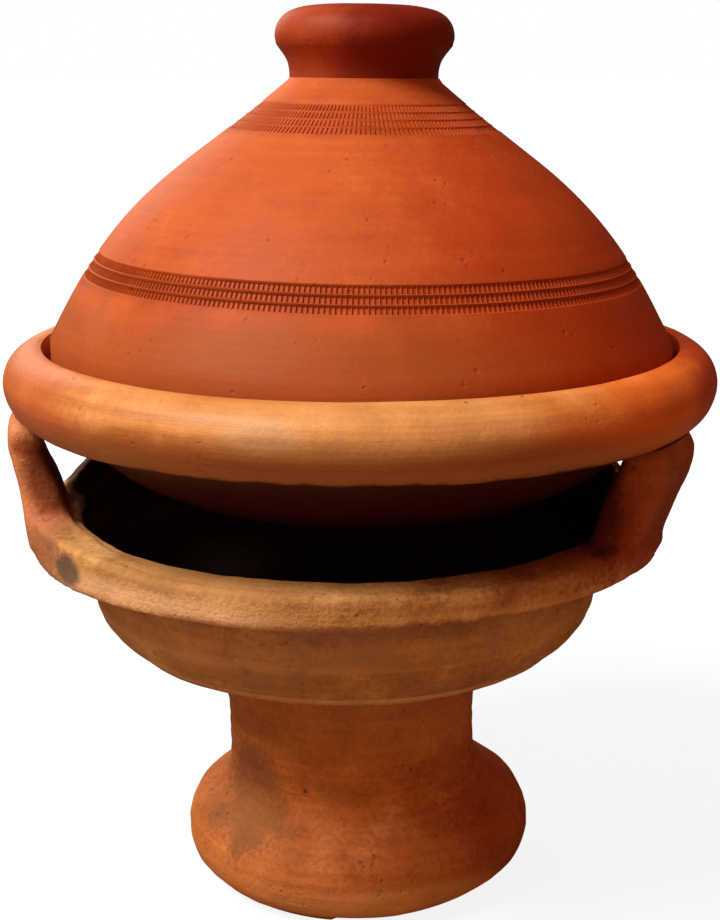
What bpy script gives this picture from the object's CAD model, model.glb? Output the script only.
"""Finishes, hand work and studio for a clay tagine on its footed brazier.

Lengths inside the classes are millimetres, as a potter would measure them; they become
metres when a mesh is made. The turned pieces are spun from an outline, the prongs are
built up from flat slabs and luted to the rim, and every piece gets a clay finish. A piece's
hands are the width and height of the lumps that each pass of the hands leaves in it, and its
rings are the depth and pitch of the wheel's rings.
"""

import contextlib
import logging
import math
from dataclasses import dataclass, replace
from enum import Enum
from functools import cached_property
from typing import Callable, Iterator, Sequence

import bmesh
import bpy
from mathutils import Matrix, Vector


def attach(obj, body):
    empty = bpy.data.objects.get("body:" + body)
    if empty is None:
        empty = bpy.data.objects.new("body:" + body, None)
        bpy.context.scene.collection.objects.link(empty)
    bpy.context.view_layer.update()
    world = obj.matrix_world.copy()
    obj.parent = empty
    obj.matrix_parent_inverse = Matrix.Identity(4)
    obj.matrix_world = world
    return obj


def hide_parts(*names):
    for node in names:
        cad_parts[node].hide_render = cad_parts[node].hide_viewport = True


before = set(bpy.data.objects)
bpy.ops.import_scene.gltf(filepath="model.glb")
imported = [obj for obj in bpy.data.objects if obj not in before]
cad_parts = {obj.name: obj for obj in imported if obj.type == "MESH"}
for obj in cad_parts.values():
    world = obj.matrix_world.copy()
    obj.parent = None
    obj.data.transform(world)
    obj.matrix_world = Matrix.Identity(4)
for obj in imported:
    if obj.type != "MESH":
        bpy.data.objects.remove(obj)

log = logging.getLogger("tagine")

MM = 0.001
Piece = bpy.types.Object
Test = Callable[[Vector], bool]
Point = tuple[float, float]
Triple = tuple[float, float, float]
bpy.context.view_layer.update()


class Body(Enum):
    """The bodies that pieces ride on."""

    BRAZIER = "brazier"
    DISH = "dish"
    LID = "lid"


class Slot(Enum):
    """The record's material slots."""

    LID = "lid_clay"
    DISH = "dish_clay"
    BRAZIER = "brazier_clay"


class Part(Enum):
    """The parts of a mesh that can be picked."""

    FACE = "FACE"
    VERT = "VERT"


class Cut(Enum):
    """What a cut leaves of a piece: what is outside the tool, or what is inside it."""

    OUTSIDE = "DIFFERENCE"
    INSIDE = "INTERSECT"


# --- Outlines ---


def arc(cx: float, cz: float, r: float, a0: float, a1: float, n: int = 10) -> list[Point]:
    """Points along an arc, angles in degrees.

    Args:
        cx: Radius of the arc's centre from the axis.
        cz: Height of the arc's centre.
        r: Radius of the arc.
        a0: First angle.
        a1: Last angle.
        n: Number of steps.

    Returns:
        The points, first to last.
    """
    turns = [math.radians(a0 + (a1 - a0) * i / n) for i in range(n + 1)]
    return [(cx + r * math.cos(a), cz + r * math.sin(a)) for a in turns]


def curve(p0: Point, p1: Point, p2: Point, p3: Point, n: int = 14) -> list[Point]:
    """Points along a smooth curve that leaves p0 towards p1 and reaches p3 from p2.

    Args:
        p0: First point.
        p1: Pull on the first end.
        p2: Pull on the last end.
        p3: Last point.
        n: Number of steps.

    Returns:
        The points, first to last.
    """
    points = []
    for t in (i / n for i in range(n + 1)):
        s = 1 - t
        pulls = [(s**3, p0), (3 * s * s * t, p1), (3 * s * t * t, p2), (t**3, p3)]
        points.append((sum(w * p[0] for w, p in pulls), sum(w * p[1] for w, p in pulls)))
    return points


def rippled(points: Sequence[Point], depth: float, pitch: float) -> list[Point]:
    """The faint rings that fingers leave on the wheel.

    Args:
        points: Outline to disturb.
        depth: Height of the rings.
        pitch: Distance from ring to ring.

    Returns:
        The disturbed outline.
    """
    out = []
    for r, z in points:
        turn = 2 * math.pi * z / pitch
        wave = math.sin(turn) + 0.6 * math.sin(turn / 2.7)
        out.append((r + depth * wave, z) if r > 1 else (r, z))
    return out


# --- Hand tools ---


class Bench:
    """Mesh work with Blender's own tools, one piece at a time."""

    @staticmethod
    def clear() -> None:
        """Deselects everything, so that a tool acts on one piece alone."""
        if bpy.context.mode != "OBJECT":
            bpy.ops.object.mode_set(mode="OBJECT")
        bpy.ops.object.select_all(action="DESELECT")

    @staticmethod
    def take(piece: Piece) -> None:
        """Makes one piece the selected and active one.

        Args:
            piece: The piece.
        """
        Bench.clear()
        piece.select_set(True)
        bpy.context.view_layer.objects.active = piece

    @staticmethod
    @contextlib.contextmanager
    def editing(piece: Piece) -> Iterator[None]:
        """Opens a piece in edit mode and closes it again.

        Args:
            piece: The piece.

        Returns:
            A context to edit it in.
        """
        Bench.take(piece)
        bpy.ops.object.mode_set(mode="EDIT")
        yield
        bpy.ops.object.mode_set(mode="OBJECT")

    @staticmethod
    def pick(piece: Piece, test: Test, kind: Part) -> None:
        """Selects the faces or vertices whose place passes a test. Works in edit mode.

        Args:
            piece: The piece in edit mode.
            test: Takes a face's centre or a vertex's place, in metres.
            kind: What to select.
        """
        bpy.ops.mesh.select_mode(type=kind.value)
        bpy.ops.mesh.select_all(action="DESELECT")
        mesh = bmesh.from_edit_mesh(piece.data)
        for part in mesh.faces if kind is Part.FACE else mesh.verts:
            if test(part.calc_center_median() if kind is Part.FACE else part.co):
                part.select_set(True)
        bmesh.update_edit_mesh(piece.data)

    @staticmethod
    def nudge(piece: Piece, test: Test, across: float = 0, up: float = 0) -> None:
        """Shifts the vertices whose place passes a test. Works in edit mode.

        Args:
            piece: The piece in edit mode.
            test: Takes a vertex's place, in metres.
            across: Shift towards +X, in millimetres.
            up: Shift upwards, in millimetres.
        """
        Bench.pick(piece, test, Part.VERT)
        bpy.ops.transform.translate(value=(across * MM, 0, up * MM))

    @staticmethod
    def settle(piece: Piece) -> None:
        """Puts the object at the origin with its place in its mesh."""
        Bench.take(piece)
        bpy.ops.object.transform_apply(location=True, rotation=True, scale=True)

    @staticmethod
    def move(
        piece: Piece, across: float = 0, up: float = 0, lean: float = 0, turn: float = 0
    ) -> None:
        """Leans and turns a piece about the origin, shifts it and settles it.

        Args:
            piece: The piece.
            across: Shift towards +X, in millimetres.
            up: Shift upwards, in millimetres.
            lean: Turn about Y, in degrees.
            turn: Turn about Z, in degrees.
        """
        piece.rotation_euler = (0, math.radians(lean), math.radians(turn))
        piece.location = (across * MM, 0, up * MM)
        Bench.settle(piece)

    @staticmethod
    def pull(across: float, up: float, back: float = 0) -> None:
        """Extrudes what is selected, by millimetres. Works in edit mode."""
        step = (across * MM, back * MM, up * MM)
        bpy.ops.mesh.extrude_region_move(TRANSFORM_OT_translate={"value": step})

    @staticmethod
    def sketch(name: str, outline: Sequence[Point]) -> Piece:
        """Draws an outline in the upright plane y = 0 and selects it, in edit mode.

        Args:
            name: Name of the piece.
            outline: Points (radius, height) in millimetres, from one end to the other.

        Returns:
            The piece, still in edit mode.
        """
        Bench.clear()
        start = outline[0]
        bpy.ops.mesh.primitive_plane_add(size=MM, location=(start[0] * MM, 0, start[1] * MM))
        piece = bpy.context.object
        piece.name = piece.data.name = name
        bpy.ops.object.mode_set(mode="EDIT")
        bpy.ops.mesh.select_mode(type="VERT")
        bpy.ops.mesh.merge(type="CENTER")
        for here, there in zip(outline, outline[1:]):
            Bench.pull(there[0] - here[0], there[1] - here[1])
        bpy.ops.mesh.select_all(action="SELECT")
        return piece

    @staticmethod
    def close(piece: Piece) -> None:
        """Faces a finished shell outwards, leaves edit mode and settles the piece.

        Args:
            piece: The piece in edit mode.
        """
        bpy.ops.mesh.select_all(action="SELECT")
        bpy.ops.mesh.normals_make_consistent(inside=False)
        if bmesh.from_edit_mesh(piece.data).calc_volume(signed=True) < 0:
            bpy.ops.mesh.flip_normals()
        bpy.ops.object.mode_set(mode="OBJECT")
        Bench.settle(piece)

    @staticmethod
    def turn(name: str, outline: Sequence[Point], steps: int) -> Piece:
        """Spins an outline round the upright axis, as on the wheel.

        Args:
            name: Name of the piece.
            outline: Points (radius, height) in millimetres, from one end to the other.
            steps: Number of steps round the axis.

        Returns:
            The closed piece.
        """
        piece = Bench.sketch(name, outline)
        bpy.ops.mesh.spin(steps=steps, angle=2 * math.pi, center=(0, 0, 0), axis=(0, 0, 1))
        bpy.ops.mesh.select_all(action="SELECT")
        bpy.ops.mesh.remove_doubles(threshold=2e-6)
        bpy.ops.mesh.delete_loose(use_verts=False, use_edges=True, use_faces=False)
        Bench.close(piece)
        return piece

    @staticmethod
    def press(piece: Piece, kind: str, **settings: object) -> None:
        """Adds one modifier and applies it.

        Args:
            piece: The piece to work.
            kind: Blender's type of modifier.
            **settings: The modifier's own settings.
        """
        Bench.take(piece)
        tool = piece.modifiers.new(kind.title(), kind)
        for key, value in settings.items():
            setattr(tool, key, value)
        bpy.ops.object.modifier_apply(modifier=tool.name)

    @staticmethod
    def cut(piece: Piece, tool: Piece, kept: Cut) -> None:
        """Cuts a piece with another, which is used up."""
        Bench.press(piece, "BOOLEAN", operation=kept.value, object=tool, solver="EXACT")
        bpy.data.objects.remove(tool)

    @staticmethod
    def lumps(piece: Piece, hands: Sequence[Point]) -> None:
        """Presses soft unevenness into a surface, as hands do.

        Args:
            piece: The piece to work.
            hands: Width and height of the lumps of each pass, in millimetres.
        """
        for size, height in hands:
            cloud = bpy.data.textures.new(f"{piece.name}_hands", "CLOUDS")
            cloud.noise_scale = size * MM
            cloud.noise_depth = 2
            Bench.press(
                piece, "DISPLACE", texture=cloud, texture_coords="LOCAL",
                strength=height * MM, mid_level=0.5,
            )

    @staticmethod
    def smooth(piece: Piece, angle: float) -> None:
        """Shades smooth except over edges sharper than angle degrees."""
        Bench.take(piece)
        bpy.ops.object.shade_smooth_by_angle(angle=math.radians(angle))


# --- Shader sheets ---


class Signal:
    """A shader socket that adds Math nodes when it is used in arithmetic."""

    def __init__(self, sheet: "Sheet", socket: bpy.types.NodeSocket) -> None:
        """Wraps a socket of a sheet."""
        self.sheet = sheet
        self.socket = socket

    def maths(self, operation: str, *terms: object, clamp: bool = False) -> "Signal":
        """Adds one Math node.

        Args:
            operation: Blender's name for the operation.
            *terms: Numbers or signals.
            clamp: Whether the result is held between 0 and 1.

        Returns:
            The result.
        """
        settings = {"operation": operation, "use_clamp": clamp}
        return self.sheet.add("ShaderNodeMath", settings, dict(enumerate(terms)))

    def __add__(self, other: object) -> "Signal":
        """Sum."""
        return self.maths("ADD", self, other)

    __radd__ = __add__

    def __sub__(self, other: object) -> "Signal":
        """Difference."""
        return self.maths("SUBTRACT", self, other)

    def __rsub__(self, other: object) -> "Signal":
        """Difference, the other way."""
        return self.maths("SUBTRACT", other, self)

    def __mul__(self, other: object) -> "Signal":
        """Product."""
        return self.maths("MULTIPLY", self, other)

    __rmul__ = __mul__

    def clamped(self) -> "Signal":
        """Held between 0 and 1."""
        return self.maths("ADD", self, 0.0, clamp=True)

    def rise(self, low: float, high: float) -> "Signal":
        """A soft step from 0 at low to 1 at high."""
        values = {"Value": self, "From Min": low, "From Max": high}
        return self.sheet.add("ShaderNodeMapRange", {"interpolation_type": "SMOOTHSTEP"}, values)


class Sheet:
    """The node sheet of one material or world."""

    def __init__(self, owner: bpy.types.Material | bpy.types.World) -> None:
        """Starts an empty sheet.

        Args:
            owner: The material or world.
        """
        owner.use_nodes = True
        self.tree = owner.node_tree
        self.tree.nodes.clear()

    def node(self, kind: str, settings: dict, values: dict) -> bpy.types.Node:
        """Adds a node.

        Args:
            kind: Blender's type of node.
            settings: Its own settings, set first; stops is a colour ramp's list.
            values: Numbers, colours or signals by the name or place of a socket.

        Returns:
            The node.
        """
        made = self.tree.nodes.new(kind)
        for key, value in settings.items():
            if key == "stops":
                ramp = made.color_ramp
                while len(ramp.elements) < len(value):
                    ramp.elements.new(0.5)
                for element, (place, colour) in zip(ramp.elements, value):
                    element.position = place
                    element.color = (*colour, 1)
            else:
                setattr(made, key, value)
        for key, value in values.items():
            socket = made.inputs[key]
            if isinstance(value, Signal):
                self.tree.links.new(value.socket, socket)
            elif isinstance(value, tuple) and len(value) == 3 and socket.type == "RGBA":
                socket.default_value = (*value, 1)
            else:
                socket.default_value = value
        return made

    def add(self, kind: str, settings: dict, values: dict, out: object = 0) -> Signal:
        """Adds a node and returns one of its outputs, by name or place."""
        return Signal(self, self.node(kind, settings, values).outputs[out])

    def colour_mix(self, factor: object, a: object, b: object, blend: str = "MIX") -> Signal:
        """Mixes two colours."""
        settings = {"data_type": "RGBA", "blend_type": blend, "clamp_factor": True}
        return self.add("ShaderNodeMix", settings, {0: factor, 6: a, 7: b}, out=2)

    def camera_ray(self) -> Signal:
        """1 for what the camera sees, 0 for what lights the object."""
        return self.add("ShaderNodeLightPath", {}, {}, out="Is Camera Ray")

    def place(self) -> Signal:
        """The point on the piece, in metres."""
        return self.add("ShaderNodeTexCoord", {}, {}, out="Object")

    def stretched(self, place: Signal, scale: Triple, shift: Triple = (0, 0, 0)) -> Signal:
        """The place, stretched and shifted for a pattern."""
        values = {"Vector": place, "Scale": scale, "Location": shift}
        return self.add("ShaderNodeMapping", {}, values)

    def length(self, vector: Signal) -> Signal:
        """How long a vector is."""
        return self.add("ShaderNodeVectorMath", {"operation": "LENGTH"}, {0: vector}, out="Value")

    def axis(self, vector: Signal, name: str) -> Signal:
        """A vector's X, Y or Z."""
        return self.add("ShaderNodeSeparateXYZ", {}, {"Vector": vector}, out=name)

    def upward(self) -> Signal:
        """How far the surface faces up, from -1 to 1."""
        facing = self.add("ShaderNodeNewGeometry", {}, {}, out="True Normal")
        return self.axis(facing, "Z")

    def noise(self, place: Signal, scale: float, detail: float = 2, rough: float = 0.5) -> Signal:
        """Cloudy noise between 0 and 1."""
        values = {"Vector": place, "Scale": scale, "Detail": detail, "Roughness": rough}
        return self.add("ShaderNodeTexNoise", {}, values)

    def cells(self, place: Signal, scale: float) -> Signal:
        """Distance to scattered points, in cells."""
        return self.add("ShaderNodeTexVoronoi", {}, {"Vector": place, "Scale": scale})


WHITE = (1.0, 1.0, 1.0)
# Where a surface stops facing down, and where a mark fades out, from its middle at 0.
SIDEWAYS, MARK_EDGE = (-0.1, 0.15), (0.55, 1.1)
# Patterns in clay, in lumps to a metre; the wheel's rings are far finer upwards than round.
CLOUDS, PATCHES, SAND, GRIT, PIT_FIELDS = 16, 55, 420, 1500, 60
WHEEL, FINE_WHEEL = (9, 9, 260), (26, 26, 900)


@dataclass(frozen=True)
class Ground:
    """What a clay's layers draw on: its sheet, the place, a ragged height and two patterns."""

    sheet: Sheet
    place: Signal
    level: Signal
    patches: Signal
    sand: Signal


@dataclass(frozen=True)
class Zone:
    """A change of tone with height: none at start, full at end, both in millimetres.

    With under set, only surfaces that face down take it.
    """

    start: float
    end: float
    colour: Triple
    strength: float
    under: bool = False

    def cover(self, ground: Ground) -> Signal:
        """How much the zone tints each point.

        Args:
            ground: What the finish draws on.

        Returns:
            From 0 up to its strength.
        """
        reach = ground.level.rise(self.start * MM, self.end * MM) * self.strength
        if self.under:
            reach = reach * (1 - ground.sheet.upward().rise(*SIDEWAYS))
        return reach


@dataclass(frozen=True)
class Mark:
    """A cloud, scuff or scorch with ragged edges at one place, in millimetres."""

    place: Triple
    size: Triple
    colour: Triple
    strength: float
    ragged: float = 0.5

    def cover(self, ground: Ground) -> Signal:
        """How much the mark covers each point.

        Args:
            ground: What the finish draws on.

        Returns:
            0 outside the mark, up to its strength inside.
        """
        scale = tuple(1 / (size * MM) for size in self.size)
        shift = tuple(-at / size for at, size in zip(self.place, self.size))
        away = ground.sheet.length(ground.sheet.stretched(ground.place, scale, shift))
        edge = away + (ground.patches - 0.5) * (self.ragged * 1.6)
        edge = edge + (ground.sand - 0.5) * self.ragged
        return (1 - edge.rise(*MARK_EDGE)) * self.strength


@dataclass(frozen=True)
class Soot:
    """Soot inside a bowl: within a radius of its axis, between two heights, in millimetres.

    The radius grows from low_r to high_r over the climb above the floor, by lip more near the
    mouth, and to rear_r behind the bowl, where the soot also goes rear_more higher. The fades
    are how softly it ends, from none to full, at the floor, the top, the sides and behind. It
    lies thin at one place, of which the colour isn't used.
    """

    centre: float
    low_r: float
    high_r: float
    low: float
    high: float
    rear_r: float
    rear_more: float = 50
    lip: float = 0
    climb: float = 18
    lip_zone: Point = (17.6, 15.8)
    floor_fade: Point = (3.5, 1.5)
    top_fade: float = 3
    side_fade: Point = (-0.8, 1.2)
    behind: Point = (0, 35)
    colour: Triple = (0.022, 0.011, 0.007)
    strength: float = 0.97
    thin: Mark = Mark((-102, -64, 152), (46, 54, 32), (0.3, 0.1, 0.05), 0.62, 0.8)

    def cover(self, ground: Ground) -> Signal:
        """How much soot lies on each point.

        Args:
            ground: What the finish draws on.

        Returns:
            0 outside the bowl, up to the soot's strength inside.
        """
        sheet, level = ground.sheet, ground.level
        away = sheet.length(sheet.stretched(ground.place, (1, 1, 0), (-self.centre * MM, 0, 0)))
        behind = sheet.axis(ground.place, "Y").rise(*(y * MM for y in self.behind))
        climb = level.rise(self.low * MM, (self.low + self.climb) * MM)
        lip = level.rise(*((self.high - down) * MM for down in self.lip_zone))
        limit = climb * ((self.high_r - self.low_r) * MM) + self.low_r * MM
        limit = limit + behind * ((self.rear_r - self.high_r) * MM) + lip * (self.lip * MM)
        inside = (limit - away).rise(*(gap * MM for gap in self.side_fade))
        above = level.rise(*((self.low - down) * MM for down in self.floor_fade))
        lifted = level - behind * (self.rear_more * MM)
        below = 1 - lifted.rise((self.high - self.top_fade) * MM, self.high * MM)
        return inside * above * below * self.strength * (1 - self.thin.cover(ground))


@dataclass(frozen=True)
class Clay:
    """One finish of fired, unglazed clay."""

    name: str
    pale: Triple
    body: Triple
    deep: Triple
    roughness: float = 0.62
    streaks: float = 0.3
    mottle: float = 0.5
    specks: float = 0.25
    pits: float = 0.3
    pit_scale: float = 230
    grain: float = 0.15
    relief: float = 0.0011
    dust: float = 0.1
    dust_colour: Triple = (0.62, 0.42, 0.26)
    pit_colour: Triple = (0.03, 0.018, 0.012)
    gloss: float = 0.4
    zones: tuple[Zone, ...] = ()
    marks: tuple[Mark, ...] = ()
    soot: Soot | None = None
    seed: float = 0.0

    def made(self) -> bpy.types.Material:
        """Builds the material.

        Returns:
            A material that reads only the piece's own coordinates.
        """
        material = bpy.data.materials.new(self.name)
        sheet = Sheet(material)
        place = sheet.place()
        shift = (self.seed, self.seed * 0.7, self.seed * 0.3)
        free = sheet.stretched(place, (1, 1, 1), shift)

        clouds = sheet.noise(free, CLOUDS, 4, 0.55)
        patches = sheet.noise(free, PATCHES, 3, 0.6)
        wheel = sheet.noise(sheet.stretched(place, WHEEL, shift), 1, 3, 0.6)
        fine_wheel = sheet.noise(sheet.stretched(place, FINE_WHEEL, shift), 1, 2, 0.6)
        grit = sheet.noise(free, GRIT, 2, 0.6)
        sand = sheet.noise(free, SAND, 3, 0.65)
        level = sheet.axis(place, "Z") + (patches - 0.5) * 0.006
        ground = Ground(sheet, place, level, patches, sand)

        tone = (clouds - 0.5) * self.mottle * 1.6 + (patches - 0.5) * self.mottle
        tone = tone + (wheel - 0.5) * self.streaks * 1.5 + (fine_wheel - 0.5) * self.streaks * 0.8
        tone = tone + (sand - 0.5) * self.grain * 0.9
        ramp = {"stops": [(0.0, self.deep), (0.5, self.body), (1.0, self.pale)]}
        colour = sheet.add("ShaderNodeValToRGB", ramp, {"Fac": (tone + 0.5).clamped()})

        speck = sand.rise(0.60, 0.72) * self.specks
        colour = sheet.colour_mix(speck, colour, self.deep)
        dusty = patches.rise(0.52, 0.74) * sand.rise(0.42, 0.62) * self.dust
        colour = sheet.colour_mix(dusty, colour, self.dust_colour)

        cell = sheet.cells(free, self.pit_scale)
        chance = sheet.noise(free, PIT_FIELDS, 2).rise(0.54, 0.66)
        pit = (1 - (cell + (sand - 0.5) * 0.5).rise(0.06, 0.26)) * chance
        colour = sheet.colour_mix(pit * self.pits, colour, self.pit_colour)

        for layer in (*self.zones, *self.marks):
            colour = sheet.colour_mix(layer.cover(ground), colour, layer.colour)
        shade = 1 + (patches - 0.5) * self.mottle * 0.7 + (wheel - 0.5) * self.streaks * 0.8
        shade = shade + (sand - 0.5) * self.grain * 0.6
        colour = sheet.colour_mix(1.0, colour, shade, "MULTIPLY")
        if self.soot:
            colour = sheet.colour_mix(self.soot.cover(ground), colour, self.soot.colour)

        rough = (wheel - 0.5) * 0.12 + (patches - 0.5) * 0.14 + dusty * 0.25 + self.roughness
        relief = (wheel * 0.35 + fine_wheel * 0.25) * self.streaks
        relief = relief + sand * self.grain + grit * (self.grain * 0.35) - pit * self.pits * 1.4
        dents = {"Strength": 0.6, "Distance": self.relief, "Height": relief}
        values = {
            "Base Color": colour,
            "Roughness": rough,
            "Normal": sheet.add("ShaderNodeBump", {}, dents),
            "Specular IOR Level": self.gloss,
        }
        skin = sheet.add("ShaderNodeBsdfPrincipled", {}, values)
        sheet.node("ShaderNodeOutputMaterial", {}, {"Surface": skin})
        return material


LID_CLAY = Clay(
    name="burnished_red_clay",
    pale=(0.66, 0.150, 0.038), body=(0.59, 0.118, 0.026), deep=(0.42, 0.066, 0.013),
    roughness=0.55, gloss=0.17, streaks=0.26, mottle=0.36, specks=0.12, pits=0.3, grain=0.18,
    dust=0.14,
    dust_colour=(0.58, 0.26, 0.10),
    zones=(Zone(269, 254, (0.40, 0.088, 0.019), 0.72),),
    marks=(
        Mark((2, -84, 291), (8, 14, 5), (0.25, 0.085, 0.04), 0.55),
        Mark((-38, -116, 254), (34, 40, 8), (0.52, 0.19, 0.055), 0.14, 1.6),
        Mark((-98, -70, 258), (12, 20, 16), (0.60, 0.20, 0.09), 0.2, 1.6),
        Mark((60, -100, 250), (40, 40, 8), (0.45, 0.16, 0.05), 0.3, 1.6),
        Mark((110, -60, 290), (110, 110, 120), (0.54, 0.062, 0.009), 0.8, 0.25),
        Mark((0, 0, 272.4), (400, 400, 6.4), (0.34, 0.060, 0.012), 0.5, 0.35),
        Mark((0, 0, 332.8), (400, 400, 7.2), (0.42, 0.066, 0.012), 0.4, 0.35),
    ),
    seed=3.1,
)
KNOB_CLAY = Clay(
    name="handled_red_clay",
    pale=(0.50, 0.088, 0.024), body=(0.39, 0.050, 0.012), deep=(0.24, 0.024, 0.005),
    roughness=0.54, gloss=0.2, streaks=0.25, mottle=0.4, specks=0.15, pits=0.3, grain=0.14,
    dust=0.1,
    dust_colour=(0.52, 0.17, 0.07),
    zones=(Zone(362, 349, (0.27, 0.030, 0.007), 0.5),),
    marks=(Mark((30, -26, 362), (46, 48, 48), (0.20, 0.010, 0.002), 0.85, 0.3),),
    seed=5.3,
)
DISH_CLAY = Clay(
    name="orange_rim_clay",
    pale=(0.84, 0.43, 0.14), body=(0.76, 0.31, 0.088), deep=(0.50, 0.15, 0.034),
    roughness=0.46, gloss=0.3, streaks=0.5, mottle=0.5, specks=0.25, pits=0.5, grain=0.3,
    dust=0.3,
    dust_colour=(0.80, 0.46, 0.22),
    zones=(
        Zone(231, 223.5, (0.39, 0.105, 0.020), 0.86),
        Zone(221, 215.5, (0.52, 0.190, 0.056), 0.85),
        Zone(213.2, 210.8, (0.055, 0.004, 0.002), 0.97, under=True),
    ),
    marks=(
        Mark((6, -150, 233), (92, 30, 14), (0.88, 0.52, 0.20), 0.34, 0.25),
        Mark((-34, -148, 230), (17, 24, 6), (0.86, 0.62, 0.42), 0.2, 0.4),
        Mark((-150, -50, 230), (76, 100, 22), (0.56, 0.118, 0.032), 0.75, 0.2),
        Mark((152, -44, 230), (126, 140, 24), (0.95, 0.18, 0.012), 0.8, 0.2),
        Mark((156, -14, 228), (50, 90, 26), (0.52, 0.03, 0.003), 0.8, 0.2),
    ),
    seed=7.7,
)
BRAZIER_CLAY = Clay(
    name="sandy_brazier_clay",
    pale=(0.80, 0.47, 0.18), body=(0.66, 0.33, 0.105), deep=(0.38, 0.14, 0.038),
    roughness=0.74, gloss=0.25, streaks=0.42, mottle=0.85, specks=0.6, pits=0.7, grain=0.75,
    relief=0.0012, dust=0.5,
    dust_colour=(0.66, 0.42, 0.26),
    marks=(
        Mark((0, -60, 155.5), (200, 200, 3.2), (0.30, 0.12, 0.045), 0.55, 0.9),
        Mark((-78, -110, 156.5), (70, 60, 10), (0.95, 0.55, 0.29), 0.8, 0.5),
        Mark((-58, -114, 168.5), (58, 54, 5), (0.50, 0.23, 0.075), 0.75, 0.6),
        Mark((-56, -90, 138), (76, 60, 16), (0.78, 0.45, 0.24), 0.65, 1.1),
        Mark((0, -60, 147), (160, 140, 5), (0.42, 0.19, 0.08), 0.5, 1.4),
        Mark((10, -80, 122), (140, 90, 8), (0.52, 0.24, 0.09), 0.55, 1.0),
        Mark((20, -90, 140), (100, 60, 11), (0.66, 0.37, 0.18), 0.5, 0.9),
        Mark((96, -76, 177), (104, 96, 19), (0.30, 0.062, 0.013), 0.75, 0.5),
        Mark((116, -60, 184), (50, 50, 50), (0.36, 0.050, 0.009), 0.8, 0.3),
        Mark((113, -84, 190), (8, 20, 24), (0.60, 0.18, 0.045), 0.45, 1.8),
        Mark((94, -66, 190), (11, 44, 36), (0.09, 0.012, 0.004), 0.88, 0.4),
        Mark((-136, -34, 182), (30, 40, 62), (0.76, 0.262, 0.120), 0.8, 0.4),
        Mark((-130, -58, 162), (26, 36, 14), (0.45, 0.170, 0.078), 0.75, 0.4),
        Mark((-126, -38, 189), (14, 28, 20), (0.20, 0.045, 0.015), 0.9, 0.25),
        Mark((-121, 11, 176), (13, 31, 17), (0.04, 0.012, 0.008), 0.94, 0.3),
        Mark((0, 0, 112.3), (400, 400, 1.5), (0.86, 0.50, 0.26), 0.75, 0.8),
        Mark((-114, -83, 162), (10, 12, 7.2), (0.17, 0.105, 0.07), 0.92, 0.12),
    ),
    soot=Soot(centre=-6, low_r=95, high_r=108, low=118, high=166, rear_r=110, lip=12),
    seed=12.4,
)
RIM_CLAY = replace(
    BRAZIER_CLAY,
    name="sandy_rim_clay",
    soot=Soot(
        centre=-6, low_r=113, high_r=115.2, low=130, high=167.5, rear_r=133,
        colour=(0.05, 0.014, 0.007), strength=0.95,
    ),
)
FOOT_CLAY = Clay(
    name="red_foot_clay",
    pale=(0.79, 0.31, 0.086), body=(0.63, 0.198, 0.045), deep=(0.34, 0.078, 0.016),
    roughness=0.7, gloss=0.28, streaks=0.34, mottle=0.6, specks=0.4, pits=0.6, grain=0.6,
    relief=0.0013, dust=0.4,
    dust_colour=(0.62, 0.36, 0.2),
    zones=(Zone(60, 84, (0.60, 0.25, 0.085), 0.5), Zone(26, 8, (0.86, 0.33, 0.095), 0.8)),
    marks=(
        Mark((-44, -32, 58), (15, 32, 13), (0.28, 0.09, 0.035), 0.45, 0.9),
        Mark((-46, -42, 40), (18, 32, 21), (0.28, 0.125, 0.055), 0.5, 1.3),
        Mark((40, -45, 58), (16, 40, 14), (0.40, 0.09, 0.02), 0.5, 0.6),
        Mark((30, -60, 30), (40, 40, 22), (0.44, 0.10, 0.022), 0.45, 0.6),
        Mark((-52, -40, 38), (34, 44, 12), (0.42, 0.15, 0.045), 0.6, 0.5),
        Mark((76, -30, 40), (44, 64, 40), (0.42, 0.068, 0.012), 0.6, 0.4),
        Mark((-20, -70, 10), (40, 30, 7), (0.88, 0.38, 0.14), 0.4, 0.7),
        Mark((22, -74, 9), (56, 40, 13), (1.0, 0.46, 0.17), 0.6, 0.4),
    ),
    seed=21.9,
)


def dress(piece: Piece, finish: Clay, body: Body) -> None:
    """Gives a piece its finish and ties it to the frame.

    Args:
        piece: The finished mesh.
        finish: Its clay.
        body: The body it rides on.
    """
    piece.data.materials.clear()
    piece.data.materials.append(finish.made())
    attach(piece, body.value)


# --- Pieces ---


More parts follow.
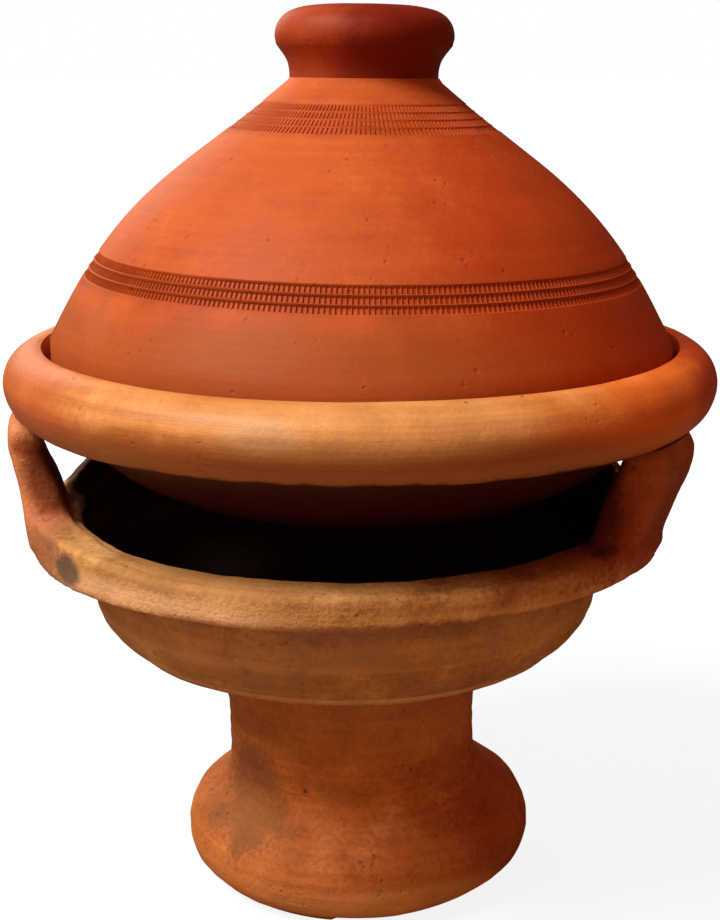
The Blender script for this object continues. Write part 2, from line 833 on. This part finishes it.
@dataclass
class Foot:
    """The hollow pedestal: a rolled foot and a waisted stem."""

    foot_r: float = 77.2
    roll_r: float = 19.5
    roll_end: float = 58
    throat_z: float = 42.5
    throat_r: float = 56.3
    waist_r: float = 54.7
    stem_top: float = 106
    wall: float = 9
    steps: int = 192
    rings: Point = (0.13, 7.3)
    hands: tuple[Point, ...] = ((38, 1.5), (9, 0.35))
    tilt: float = -0.9
    flat_z: float = 1.3
    lean: tuple[Point, ...] = (
        (-9, -1.3), (3, 0.4), (5, 0.3), (8, 0.3), (12, 0.2), (34, -0.3), (43, -0.6), (46, -0.5),
        (49, -0.4), (52, -0.3), (60, -0.2), (80, -0.2),
    )

    def outline(self) -> list[Point]:
        """The outside from the floor up, then the inside down again.

        Returns:
            A closed outline.
        """
        ring, throat, end = self.foot_r - self.roll_r, self.throat_r, math.radians(self.roll_end)
        shoulder = (ring + self.roll_r * math.cos(end), self.roll_r * (1 + math.sin(end)))
        neck = (throat - 1.2, 50)
        outside = [(ring + 1, 0.0)]
        outside += arc(ring, self.roll_r, self.roll_r, -75, self.roll_end, 22)
        outside += curve(shoulder, (throat + 6, 39), (throat, self.throat_z), neck, 8)[1:]
        top = (throat + 1.5, self.stem_top)
        outside += curve(neck, (self.waist_r - 0.3, 62), (self.waist_r, 84), top, 26)[1:]
        bore = throat - self.wall
        inside = [(bore, self.stem_top), (bore, 49.0)]
        inside += curve((bore, 49), (bore, 39), (ring, 33), (ring, self.roll_r), 8)[1:]
        inside += [(ring - self.wall, 0.0), (ring + 1, 0.0)]
        return rippled(outside, *self.rings) + inside

    def build(self) -> list[Piece]:
        """Turns the foot, sets it flat, lets the stem lean a little and dresses it.

        Returns:
            The piece.
        """
        piece = Bench.turn("brazier_foot_clay", self.outline(), self.steps)
        Bench.lumps(piece, self.hands)
        Bench.move(piece, lean=self.tilt)
        with Bench.editing(piece):
            Bench.pick(piece, lambda p: p.z < self.flat_z * MM, Part.VERT)
            bpy.ops.transform.resize(value=(1, 1, 0), center_override=(0, 0, 0))
            for level, shift in self.lean:
                Bench.nudge(piece, lambda p, z=level: p.z > z * MM, across=shift)
        Bench.smooth(piece, 50)
        dress(piece, FOOT_CLAY, Body.BRAZIER)
        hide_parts("brazier_foot")
        return [piece]


@dataclass
class FireBowl:
    """The bowl for the charcoal, without its rim's edge and prongs."""

    centre: float = -6
    base_z: float = 106
    sag: float = 3.6
    belly_r: float = 110
    corner_r: float = 27
    bead_r: float = 1.6
    bead_at: float = -68
    mouth_r: float = 113.5
    wall: float = 9
    floor_t: float = 12
    stem_r: float = 56
    steps: int = 240
    rings: Point = (0.1, 6.1)
    inner_rings: Point = (0.3, 8.0)
    hands: tuple[Point, ...] = ((42, 1.3), (8, 0.3))

    def outline(self) -> list[Point]:
        """From the middle underneath, out, up and in over the floor.

        Returns:
            An outline from axis to axis.
        """
        belly, corner = self.belly_r, self.corner_r
        cx, cz = belly - corner, self.base_z + self.sag + corner
        bead = math.radians(self.bead_at)
        bx, bz = cx + corner * math.cos(bead), cz + corner * math.sin(bead)
        outside = [(0.0, self.base_z), (self.stem_r, self.base_z), (cx - 4, self.base_z + 2.6)]
        outside += arc(cx, cz, corner, -84, self.bead_at - 5, 3)
        outside += arc(bx, bz, self.bead_r, -110, 10, 6)
        outside += arc(cx, cz, corner, self.bead_at + 6, 0, 22)
        outside += [(belly, 140.0), (belly - 0.3, 146.0), (belly, 150.5)]
        inner, mouth = belly - self.wall, self.mouth_r
        low = self.base_z + self.floor_t
        inside = [(mouth + 2, 158.0), (mouth + 1, 156.0)]
        inside += curve((mouth, 155), (mouth - 3, 149), (inner, 150), (inner, cz), 10)
        inside += curve((inner, cz), (inner, low + 6), (inner - 14, low), (inner - 34, low), 14)[1:]
        inside += [(30.0, low), (0.0, low)]
        outside = rippled(outside, *self.rings) + [(belly + 3, 154.0)]
        return outside + rippled(inside, *self.inner_rings)

    def build(self) -> list[Piece]:
        """Turns the bowl, moves it onto its own centre and dresses it.

        Returns:
            The piece.
        """
        piece = Bench.turn("fire_bowl_clay", self.outline(), self.steps)
        Bench.lumps(piece, self.hands)
        Bench.move(piece, self.centre)
        Bench.smooth(piece, 50)
        dress(piece, BRAZIER_CLAY, Body.BRAZIER)
        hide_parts("brazier_bowl")
        return [piece]


@dataclass(frozen=True)
class Station:
    """One level of a prong: where its middle is, and how thick and wide it is there."""

    r: float
    z: float
    thick: float
    wide: float

    def place(self) -> Triple:
        """Its middle, in metres, before the prong is turned to its side of the rim."""
        return (self.r * MM, 0, self.z * MM)


@dataclass
class RimAndProngs:
    """The flat rim round the mouth with the three prongs drawn up out of it."""

    centre: float = -6
    top_z: float = 168.7
    edge_r: float = 134.5
    mouth_r: float = 113.5
    thick: float = 14.3
    steps: int = 240
    left: float = 191
    right: float = 334
    rear: float = 89
    seat_ring: float = 136
    seat_r: float = 14.6
    seat_z: float = 226
    roll_drop: float = 1.14
    left_stations: tuple[Station, ...] = (
        Station(126, 157, 20, 56), Station(127, 166, 20, 50), Station(128.8, 174, 18, 43),
        Station(131, 184, 16.5, 38), Station(134.4, 194, 14.5, 35), Station(136.4, 201, 14.4, 34),
        Station(136.2, 206, 14, 33), Station(134.6, 212, 12.6, 29), Station(134.2, 216, 9, 22),
    )
    left_head: Station = Station(135.9, 205.6, 14.2, 39.5)
    head_h: float = 11.5
    right_stations: tuple[Station, ...] = (
        Station(126, 157, 20, 60), Station(126.5, 166, 20, 54), Station(129, 174, 21, 50),
        Station(132, 183, 22.5, 47), Station(135.2, 191, 23, 45), Station(138.2, 199, 21.5, 44),
        Station(139.4, 205, 20, 43), Station(139.6, 210, 17, 38), Station(139.2, 214.5, 11, 28),
    )
    bevel: float = 5
    head_bevel: float = 4.5
    pads: int = 44
    pad_r: float = 8
    pad_h: float = 12.6
    pad_z: float = 161
    rest_half: tuple[Point, ...] = ((127, 162), (127, 170), (85, 208), (77, 215.5))
    rest_wider: float = 2.2
    rest_deep: float = 160
    rest_steps: int = 160
    voxel: float = 1.3
    under_z: float = 158
    rise_at: range = range(8, 92, 12)
    rise_step: float = 0.46
    soft_z: float = 163
    top_zone: Point = (163, 170)
    hands: tuple[Point, ...] = ((30, 1.3), (8, 0.45))
    grooves: tuple[Point, ...] = ((128.5, 0.5), (118.6, 0.45), (121.4, 0.35))
    groove_half: float = 0.8

    def ring(self) -> Piece:
        """Turns the flat rim with its rounded edge.

        Returns:
            The closed ring.
        """
        edge, mouth, top = self.edge_r, self.mouth_r, self.top_z
        low, lip = top - self.thick, 3.6
        start = (mouth, low + 3)
        section = [start] + arc(mouth + 3.5, top - 3.5, 3.5, 180, 90, 6)
        section += arc(edge - lip, top - lip, lip, 90, 0, 8)
        section += arc(edge - 2, low + 2, 2, 0, -90, 5)
        section += [(edge - 10, low - 2), (mouth - 4, low - 5), start]
        return Bench.turn("rim_ring", section, self.steps)

    def prong(self, stations: Sequence[Station], azimuth: float) -> Piece:
        """Draws one prong up from the rim, station by station.

        Args:
            stations: Its levels from the root to the head.
            azimuth: Its direction from +X, in degrees.

        Returns:
            The closed prong.
        """
        Bench.clear()
        root = stations[0]
        bpy.ops.mesh.primitive_plane_add(size=MM, location=root.place())
        piece = bpy.context.object
        bpy.ops.object.mode_set(mode="EDIT")
        bpy.ops.mesh.select_mode(type="FACE")
        bpy.ops.mesh.select_all(action="SELECT")
        bpy.ops.transform.resize(value=(root.thick, root.wide, 1), center_override=root.place())
        for here, there in zip(stations, stations[1:]):
            Bench.pull(there.r - here.r, there.z - here.z)
            growth = (there.thick / here.thick, there.wide / here.wide, 1)
            bpy.ops.transform.resize(value=growth, center_override=there.place())
        Bench.close(piece)
        edges = {"segments": 3, "limit_method": "ANGLE", "angle_limit": 1.0}
        Bench.press(piece, "BEVEL", width=self.bevel * MM, **edges)
        Bench.move(piece, turn=azimuth)
        return piece

    def head(self, station: Station, azimuth: float) -> Piece:
        """A lump of clay folded over the end of a prong.

        Args:
            station: Its middle, thickness and width.
            azimuth: Its direction from +X, in degrees.

        Returns:
            The lump.
        """
        Bench.clear()
        bpy.ops.mesh.primitive_cube_add(size=MM, location=station.place())
        piece = bpy.context.object
        with Bench.editing(piece):
            bpy.ops.mesh.select_all(action="SELECT")
            size = (station.thick, station.wide, self.head_h)
            bpy.ops.transform.resize(value=size, center_override=station.place())
        Bench.settle(piece)
        Bench.press(piece, "BEVEL", width=self.head_bevel * MM, segments=4)
        Bench.move(piece, turn=azimuth)
        return piece

    def coil(self, start: float, end: float, proud: float, lift: float) -> list[Piece]:
        """Pads of clay pressed along the rim's edge, where a prong is luted on.

        Args:
            start: Direction of the first pad, in degrees.
            end: Direction of the last pad.
            proud: How far the middle ones stand out beyond the rim.
            lift: How much taller the middle ones are.

        Returns:
            The pads, still apart.
        """
        made = []
        for i in range(self.pads):
            t = i / (self.pads - 1)
            a = math.radians(start + (end - start) * t)
            arch = math.sin(math.pi * t)
            r = self.pad_r * (0.55 + 0.45 * math.sqrt(arch))
            middle = (self.edge_r + proud * arch**0.5 - r) * MM
            z = (self.pad_z + 0.5 * lift * arch) * MM
            Bench.clear()
            bpy.ops.mesh.primitive_cylinder_add(
                vertices=24, radius=r * MM, depth=(self.pad_h + lift * arch) * MM,
                location=(middle * math.cos(a), middle * math.sin(a), z),
            )
            made.append(bpy.context.object)
        return made

    def rest(self) -> Piece:
        """The broad rear rest between its two slanting shoulders: a wall cut to their outline.

        Returns:
            The closed rest.
        """
        left = [(-x, z) for x, z in self.rest_half]
        right = [(x + self.rest_wider, z) for x, z in reversed(self.rest_half)]
        front = Bench.sketch("rest_front", left + right)
        bpy.ops.mesh.edge_face_add()
        Bench.pull(0, 0, self.rest_deep)
        Bench.close(front)
        Bench.move(front, turn=self.rear - 90)
        edge, low = self.edge_r, (self.mouth_r + 2, 162.0)
        section = [low, (edge - 1, 162.0), (edge + 1, 171.0)]
        section += curve((edge + 2, 178), (edge + 4, 188), (140, 196), (143, 205), 6)
        section += [(142, 211.0), (138, 215.0), (129, 215.0), (126.5, 208.0)]
        section += curve((125, 203), (122, 193), (121, 186), (119.5, 176), 6) + [low]
        wall = Bench.turn("rest_wall", section, self.rest_steps)
        Bench.cut(wall, front, Cut.INSIDE)
        return wall

    def seat(self) -> Piece:
        """The dish's roll as a tool: a ring that hangs lower under its middle.

        Returns:
            The tool.
        """
        bpy.ops.mesh.primitive_torus_add(
            major_segments=120, minor_segments=40,
            major_radius=self.seat_ring * MM, minor_radius=self.seat_r * MM,
            location=(0, 0, self.seat_z * MM),
        )
        tool = bpy.context.object
        with Bench.editing(tool):
            Bench.pick(tool, lambda p: p.z < self.seat_z * MM - 1e-5, Part.VERT)
            middle = (0, 0, self.seat_z * MM)
            bpy.ops.transform.resize(value=(1, 1, self.roll_drop), center_override=middle)
        return tool

    def skin(self) -> Piece:
        """Lutes ring, prongs and rest into one skin and presses the dish's seat into it.

        Returns:
            The piece.
        """
        parts = [
            self.ring(),
            self.prong(self.left_stations, self.left),
            self.prong(self.right_stations, self.right),
            self.rest(),
            *self.coil(self.left - 24, self.left + 48, proud=1.4, lift=5.0),
            self.head(self.left_head, self.left),
            *self.coil(self.right - 50, self.right + 26, proud=2.8, lift=3.0),
        ]
        Bench.clear()
        for part in parts:
            part.select_set(True)
        piece = bpy.context.view_layer.objects.active = parts[0]
        bpy.ops.object.join()
        piece.name = piece.data.name = "brazier_rim_clay"
        Bench.move(piece, self.centre)
        seat = self.seat()
        Bench.press(piece, "REMESH", mode="VOXEL", voxel_size=self.voxel * MM, adaptivity=0.0)
        Bench.cut(piece, seat, Cut.OUTSIDE)
        return piece

    def build(self) -> list[Piece]:
        """Lifts the underside on the right, softens the skin by hand and dresses it.

        Returns:
            The piece.
        """
        piece = self.skin()
        with Bench.editing(piece):
            for x in self.rise_at:
                Bench.nudge(piece, lambda p, x=x: self.under(p, x), up=self.rise_step)
        soft = piece.vertex_groups.new(name="soft")
        above = [v.index for v in piece.data.vertices if v.co.z > self.soft_z * MM]
        soft.add(above, 1.0, "REPLACE")
        Bench.press(piece, "SMOOTH", factor=0.5, iterations=12, vertex_group="soft")
        Bench.press(piece, "SMOOTH", factor=0.5, iterations=5)
        piece.vertex_groups.clear()
        Bench.lumps(piece, self.hands)
        with Bench.editing(piece):
            for r, depth in self.grooves:
                Bench.nudge(piece, lambda p, r=r: self.in_groove(p, r), up=-depth)
        Bench.smooth(piece, 60)
        dress(piece, RIM_CLAY, Body.BRAZIER)
        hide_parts("prong_left", "prong_right", "prong_rear")
        return [piece]

    def under(self, p: Vector, x: float) -> bool:
        """True for a place on the rim's underside further right than x."""
        return p.x > x * MM and p.z < self.under_z * MM

    def in_groove(self, p: Vector, r: float) -> bool:
        """True for a place on the rim's top near a radius from its own centre."""
        (low, high), away = self.top_zone, math.hypot(p.x / MM - self.centre, p.y / MM) - r
        return low * MM < p.z < high * MM and abs(away) < self.groove_half


@dataclass
class Dish:
    """The shallow dish with its thick rolled rim and the ledge the lid sits on."""

    rim_r: float = 150
    roll_r: float = 14
    roll_from: float = 238
    roll_drop: float = 1.14
    top_z: float = 240
    base_z: float = 174
    base_r: float = 58
    wall: float = 9
    seat_z: float = 231
    gallery_r: float = 134.5
    ledge_r: float = 121.5
    shift: float = 0.5
    steps: int = 256
    rings: Point = (0.2, 5.0)
    hands: tuple[Point, ...] = ((55, 0.9),)

    def outline(self) -> list[Point]:
        """Underside, roll, ledge and inside.

        Returns:
            An outline from axis to axis.
        """
        ring, roll_z = self.rim_r - self.roll_r, self.top_z - self.roll_r
        turn, base, low = math.radians(self.roll_from), self.base_r, self.base_z
        meet = (ring + self.roll_r * math.cos(turn) - 1.5, roll_z - self.roll_r * 0.93)
        pulls = (base + 30, low + 1), (meet[0] - 9, meet[1] - 18)
        under = [(0.0, low), (30.0, low)] + curve((base, low), *pulls, meet, 24)
        gallery = math.degrees(math.acos((self.gallery_r - ring) / self.roll_r))
        roll = arc(ring, roll_z, self.roll_r, self.roll_from, 360 + gallery, 44)
        roll = [(r, z if z > roll_z else roll_z - (roll_z - z) * self.roll_drop) for r, z in roll]
        low += self.wall
        pulls = (base + 24, low + 1), (self.ledge_r - 8, self.seat_z - 24)
        over = curve((base - 6, low), *pulls, (self.ledge_r, self.seat_z), 20)
        inside = [(self.gallery_r, self.seat_z), *reversed(over), (25.0, low), (0.0, low)]
        return rippled(under, *self.rings) + roll + inside

    def build(self) -> list[Piece]:
        """Turns the dish and dresses it.

        Returns:
            The piece.
        """
        piece = Bench.turn("dish_clay_body", self.outline(), self.steps)
        Bench.lumps(piece, self.hands)
        Bench.move(piece, self.shift)
        Bench.smooth(piece, 50)
        dress(piece, DISH_CLAY, Body.DISH)
        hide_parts("dish")
        return [piece]


@dataclass(frozen=True)
class Band:
    """A band of rouletted rows pressed into the lid, with a tooth on every few sectors."""

    low_z: float
    pitch: float
    rows: int
    groove_in: float
    groove_depth: float
    tooth_in: float
    tooth_depth: float
    every: int = 1

    def levels(self) -> list[float]:
        """Heights of the row edges, lowest first."""
        return [self.low_z + self.pitch * i for i in range(self.rows + 1)]


@dataclass
class Lid:
    """The domed lid with its knob and two bands of rouletting."""

    foot_r: float = 131
    seat_z: float = 231.3
    foot_h: float = 10
    foot_pull: Point = (0.31, 0.60)
    neck_r: float = 30.5
    neck_z: float = 348.3
    neck_pull: Point = (0.44, 0.35)
    wall: float = 8
    steps: int = 360
    tilt: float = 0.8
    shift: float = 1.0
    knob_r: float = 36.9
    knob_shift: float = -0.6
    knob_h: float = 29
    hollow: float = 3
    knob_steps: int = 144
    bands: tuple[Band, ...] = (
        Band(267.4, 3.35, 3, 0.45, 0.35, 0.33, 0.75),
        Band(327.3, 2.75, 4, 0.35, 0.25, 0.25, 0.6, every=2),
    )
    hands: tuple[Point, ...] = ((60, 0.9),)
    knob_hands: tuple[Point, ...] = ((26, 0.9),)

    def dome(self, n: int) -> list[Point]:
        """The outside of the dome as a curve.

        Args:
            n: Number of steps.

        Returns:
            The points from foot to neck.
        """
        foot = (self.foot_r, self.seat_z + self.foot_h)
        neck = (self.neck_r + 1.5, self.neck_z - 2)
        rise, reach = neck[1] - foot[1], foot[0] - neck[0]
        (foot_in, foot_up), (neck_out, neck_down) = self.foot_pull, self.neck_pull
        return curve(
            foot, (foot[0] - foot_in * reach, foot[1] + foot_up * rise),
            (neck[0] + neck_out * reach, neck[1] - neck_down * rise), neck, n,
        )

    @cached_property
    def fine_dome(self) -> list[Point]:
        """The dome, fine enough to measure on."""
        return self.dome(400)

    def dome_at(self, z: float) -> Point:
        """The point of the dome at a height.

        Args:
            z: The height.

        Returns:
            Its radius and height.
        """
        for (r0, z0), (r1, z1) in zip(self.fine_dome, self.fine_dome[1:]):
            if z0 <= z <= z1:
                t = (z - z0) / (z1 - z0)
                return (r0 + (r1 - r0) * t, z)
        return self.fine_dome[-1]

    def outline(self) -> list[Point]:
        """Foot, dome with its band levels, crown and inside.

        Returns:
            A closed outline.
        """
        coarse = self.dome(30)
        levels = [z for _, z in coarse]
        for band in self.bands:
            edges = band.levels()
            levels = [z for z in levels if z < edges[0] - 1 or z > edges[-1] + 1] + edges
        crown = self.neck_z - 10
        inner = []
        for (r, z), a, b in zip(coarse, coarse[:1] + coarse, coarse[1:] + coarse[-1:]):
            run, lift = b[0] - a[0], b[1] - a[1]
            size = math.hypot(run, lift)
            inner.append((r - self.wall * lift / size, z + self.wall * run / size))
        hollow = [p for p in reversed(inner) if p[1] < crown - 4]
        heel = (self.foot_r - self.wall, self.seat_z)
        foot = [heel, (self.foot_r - 1.5, self.seat_z), (self.foot_r, self.seat_z + 1.5)]
        top = [(self.neck_r, self.neck_z), (0.0, self.neck_z), (0.0, crown)]
        top += [(self.neck_r - 12, crown)]
        return foot + [self.dome_at(z) for z in sorted(levels)] + top + hollow + [heel]

    def on_dome(self, p: Vector, low: float, high: float) -> bool:
        """True for a place on the dome's outside between two heights, in millimetres."""
        z = p.z / MM
        return low < z < high and math.hypot(p.x, p.y) / MM > self.dome_at(z)[0] - 3

    def press_band(self, piece: Piece, band: Band) -> None:
        """Rolls one band into the lid: a groove for each row, then its teeth.

        Args:
            piece: The lid's shell.
            band: The band.
        """
        edges = band.levels()
        sector = 2 * math.pi / self.steps
        for low, high in zip(edges, edges[1:]):
            with Bench.editing(piece):
                Bench.pick(piece, lambda p, a=low, b=high: self.on_dome(p, a, b), Part.FACE)
                bpy.ops.mesh.inset(
                    thickness=band.groove_in * MM, depth=-band.groove_depth * MM,
                    use_even_offset=True,
                )
                mesh = bmesh.from_edit_mesh(piece.data)
                for face in mesh.faces:
                    if face.select and band.every > 1:
                        p = face.calc_center_median()
                        place = int((math.atan2(p.y, p.x) + math.pi) / sector)
                        if place % band.every:
                            face.select_set(False)
                mesh.select_flush_mode()
                bmesh.update_edit_mesh(piece.data)
                bpy.ops.mesh.inset(
                    thickness=band.tooth_in * MM, depth=-band.tooth_depth * MM,
                    use_individual=True, use_even_offset=True,
                )

    def shell(self) -> Piece:
        """Turns the shell and presses its bands.

        Returns:
            The piece.
        """
        piece = Bench.turn("lid_shell_clay", self.outline(), self.steps)
        for band in self.bands:
            self.press_band(piece, band)
        Bench.lumps(piece, self.hands)
        self.lean(piece)
        Bench.smooth(piece, 35)
        return piece

    def knob(self) -> Piece:
        """Turns the knob.

        Returns:
            The piece.
        """
        neck, base, r = self.neck_r + 0.2, self.neck_z, self.knob_r
        top, grip = base + self.knob_h, base + self.knob_h * 0.54
        dip = top - self.hollow
        outline = [(0.0, base - 1.5), (neck, base - 1.5)]
        outline += curve((neck, base), (neck, base + 7), (r - 4, base + 8), (r - 0.7, grip - 3), 14)
        outline += curve((r, grip), (r, grip + 7.5), (r - 5, top - 1.6), (r - 16, top - 0.7), 18)
        outline += curve((r - 20, top - 0.5), (r - 26, top), (10, dip), (0, dip), 8)
        piece = Bench.turn("lid_knob_clay", outline, self.knob_steps)
        Bench.lumps(piece, self.knob_hands)
        Bench.move(piece, self.knob_shift)
        self.lean(piece)
        Bench.smooth(piece, 60)
        return piece

    def lean(self, piece: Piece) -> None:
        """Lets the lid sit a little askew on its seat, lower on the right.

        Args:
            piece: The shell or the knob.
        """
        turn = math.radians(self.tilt)
        across = self.shift - self.seat_z * math.sin(turn)
        Bench.move(piece, across, self.seat_z * (1 - math.cos(turn)), lean=self.tilt)

    def build(self) -> list[Piece]:
        """Shapes and dresses the shell and the knob.

        Returns:
            Both pieces.
        """
        shell = self.shell()
        dress(shell, LID_CLAY, Body.LID)
        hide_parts("lid_shell")
        knob = self.knob()
        dress(knob, KNOB_CLAY, Body.LID)
        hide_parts("lid_knob")
        return [shell, knob]


# --- Studio ---


@dataclass(frozen=True)
class Lamp:
    """A square softbox: its direction from the object, in degrees left of the camera and up."""

    name: str
    azimuth: float
    elevation: float
    power: float
    tint: Triple
    size: float = 0.9
    away: float = 1.9


@dataclass
class Studio:
    """Floor, lamps, surroundings and camera; its lengths are metres, but for the lens."""

    lamps: tuple[Lamp, ...] = (
        Lamp("key", 62, 51, 38, (1.0, 0.93, 0.82)),
        Lamp("fill", -12, 22, 3.4, (1.0, 0.42, 0.15)),
        Lamp("back", 150, 24, 8, (1.0, 0.84, 0.68)),
    )
    aim: Triple = (0, 0, 0.2)
    floor_size: float = 60
    floor_seen: Triple = (0.16, 0.27, 0.34)
    floor_light: Triple = (0.30, 0.22, 0.15)
    shade_zone: Point = (0.2, 0.75)
    shade_glow: float = 0.87
    round_light: Triple = (1.0, 0.40, 0.22)
    round_power: float = 0.2
    distance: float = 0.677
    height: float = 0.355
    side: float = 0.0004
    dip: float = 14.04
    lens: float = 62.6

    def floor(self) -> None:
        """A plain pale floor that keeps the object's shadow and glows white to the camera."""
        Bench.clear()
        bpy.ops.mesh.primitive_plane_add(size=self.floor_size)
        plane = bpy.context.object
        plane.name = "floor"
        material = bpy.data.materials.new("pale_floor")
        sheet = Sheet(material)
        seen = sheet.camera_ray()
        tint = sheet.colour_mix(seen, self.floor_light, self.floor_seen)
        away = sheet.length(sheet.place()).rise(*self.shade_zone)
        strength = seen * (away * (1 - self.shade_glow) + self.shade_glow)
        cover = sheet.add("ShaderNodeBsdfDiffuse", {}, {"Color": tint})
        glow = sheet.add("ShaderNodeEmission", {}, {"Color": WHITE, "Strength": strength})
        both = sheet.add("ShaderNodeAddShader", {}, {0: cover, 1: glow})
        sheet.node("ShaderNodeOutputMaterial", {}, {"Surface": both})
        plane.data.materials.append(material)

    def lamp(self, lamp: Lamp) -> None:
        """Hangs one square softbox and aims it at the middle of the object.

        Args:
            lamp: The softbox.
        """
        Bench.clear()
        across, up = math.radians(lamp.azimuth), math.radians(lamp.elevation)
        flat = -lamp.away * math.cos(up)
        aim = Vector(self.aim)
        away = (flat * math.sin(across), flat * math.cos(across), lamp.away * math.sin(up))
        place = aim + Vector(away)
        bpy.ops.object.light_add(type="AREA", location=place)
        light = bpy.context.object
        light.name = lamp.name
        light.data.energy = lamp.power
        light.data.size = lamp.size
        light.data.color = lamp.tint
        light.rotation_euler = (aim - place).to_track_quat("-Z", "Y").to_euler()

    def surroundings(self) -> None:
        """White behind the object, and a low warm light from all round."""
        world = bpy.data.worlds.new("studio")
        bpy.context.scene.world = world
        sheet = Sheet(world)
        seen = sheet.camera_ray()
        tint = sheet.colour_mix(seen, self.round_light, WHITE)
        values = {"Color": tint, "Strength": seen * (1 - self.round_power) + self.round_power}
        back = sheet.add("ShaderNodeBackground", {}, values)
        sheet.node("ShaderNodeOutputWorld", {}, {"Surface": back})

    def camera(self) -> None:
        """A camera in front, a little above, looking slightly down."""
        bpy.ops.object.camera_add(
            location=(self.side, -self.distance, self.height),
            rotation=(math.radians(90 - self.dip), 0, 0),
        )
        camera = bpy.context.object
        camera.data.sensor_width = 36
        camera.data.lens = self.lens
        camera.data.dof.use_dof = False
        bpy.context.scene.camera = camera

    def build(self) -> None:
        """Sets the whole studio."""
        bpy.context.scene.view_settings.view_transform = "Standard"
        self.floor()
        self.surroundings()
        for lamp in self.lamps:
            self.lamp(lamp)
        self.camera()


def main() -> None:
    """Builds every part in order and reports its pieces."""
    Studio().build()
    for part in (Foot(), FireBowl(), RimAndProngs(), Dish(), Lid()):
        for piece in part.build():
            log.info("%s: %d faces", piece.name, len(piece.data.polygons))


if __name__ == "__main__":
    logging.basicConfig(level=logging.INFO, format="%(name)s: %(message)s")
    main()
